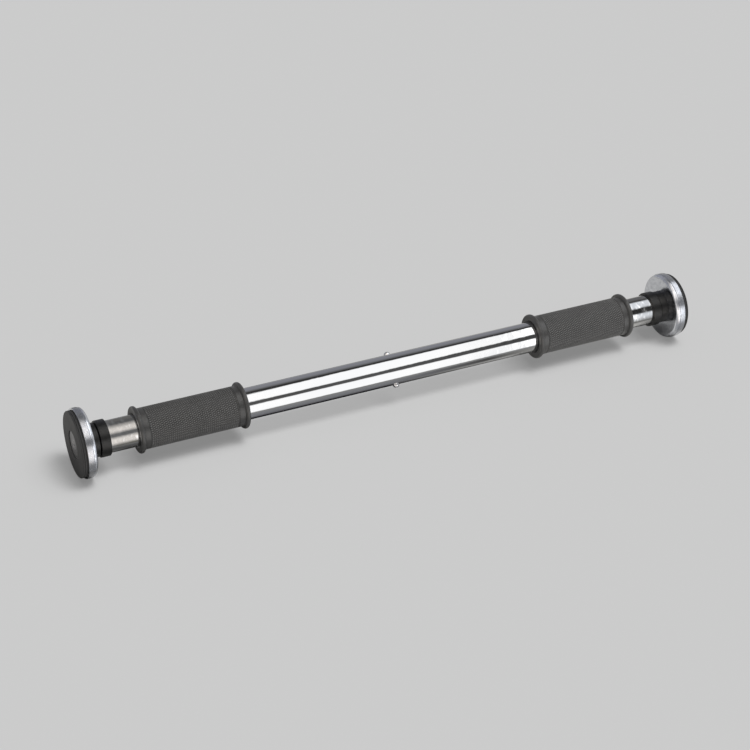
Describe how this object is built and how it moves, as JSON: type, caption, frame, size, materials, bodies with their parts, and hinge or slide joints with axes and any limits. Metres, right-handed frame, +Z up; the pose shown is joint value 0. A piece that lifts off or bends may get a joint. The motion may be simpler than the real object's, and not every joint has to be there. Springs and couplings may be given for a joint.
{
  "type": "pull up bar",
  "caption": "Doorway pull up bar: a chromed tube with rubber grips, and threaded spindles that screw out of its ends to press rubber pads against the door frame.",
  "frame": {"origin": "on the bar's axis, at the middle of its length", "axes": "+X along the bar towards the right-hand threaded end, +Z up, +Y away from the user"},
  "size_m": [0.6748, 0.07, 0.07],
  "materials": {
    "tube_chrome": "polished chrome plate",
    "grip_rubber": "matt, fine diamond knurl",
    "collar_plastic": "fine moulded grain",
    "cup_zinc": "bright zinc plate, mottled",
    "pad_rubber": "matt moulded rubber",
    "spindle_zinc": "zinc plated, rolled thread",
    "plate_steel": "dull zinc plate",
    "screw_steel": "bright zinc plate",
    "nut_steel": "turned, oiled",
    "guide_nylon": "natural nylon"
  },
  "bodies": {
    "tube": {"main_tube": "tube_chrome", "centre_block": "guide_nylon", "centre_screws": "screw_steel", "left_grip": "grip_rubber", "left_nut": "nut_steel", "left_nut_pins": "screw_steel", "left_end_cap": "collar_plastic", "right_grip": "grip_rubber", "right_nut": "nut_steel", "right_nut_pins": "screw_steel", "right_end_cap": "collar_plastic"},
    "left_guide": {"left_guide_plug": "guide_nylon"},
    "left_spindle": {"left_spindle": "spindle_zinc", "left_guide_washer": "screw_steel", "left_guide_screw": "screw_steel", "left_pad_hub": "collar_plastic", "left_pad_cup": "cup_zinc", "left_pad_rubber": "pad_rubber", "left_clamp_plate": "plate_steel", "left_pad_screw": "screw_steel"},
    "right_guide": {"right_guide_plug": "guide_nylon"},
    "right_spindle": {"right_spindle": "spindle_zinc", "right_guide_washer": "screw_steel", "right_guide_screw": "screw_steel", "right_pad_hub": "collar_plastic", "right_pad_cup": "cup_zinc", "right_pad_rubber": "pad_rubber", "right_clamp_plate": "plate_steel", "right_pad_screw": "screw_steel"}
  },
  "joints": [
    {"name": "left_slide", "type": "slide", "parent": "tube", "child": "left_guide", "axis": [-1, 0, 0], "range_m": [0, 0.16]},
    {"name": "left_turn", "type": "hinge", "parent": "left_guide", "child": "left_spindle", "pos_m": [0, 0, 0], "axis": [1, 0, 0], "range_deg": [0, 14400]},
    {"name": "right_slide", "type": "slide", "parent": "tube", "child": "right_guide", "axis": [1, 0, 0], "range_m": [0, 0.16]},
    {"name": "right_turn", "type": "hinge", "parent": "right_guide", "child": "right_spindle", "pos_m": [0, 0, 0], "axis": [1, 0, 0], "range_deg": [0, 14400]}
  ],
  "couplings": [
    {"joint": "left_slide", "follows": "left_turn", "m_per_rad": 0.00063662},
    {"joint": "right_slide", "follows": "right_turn", "m_per_rad": 0.00063662}
  ]
}
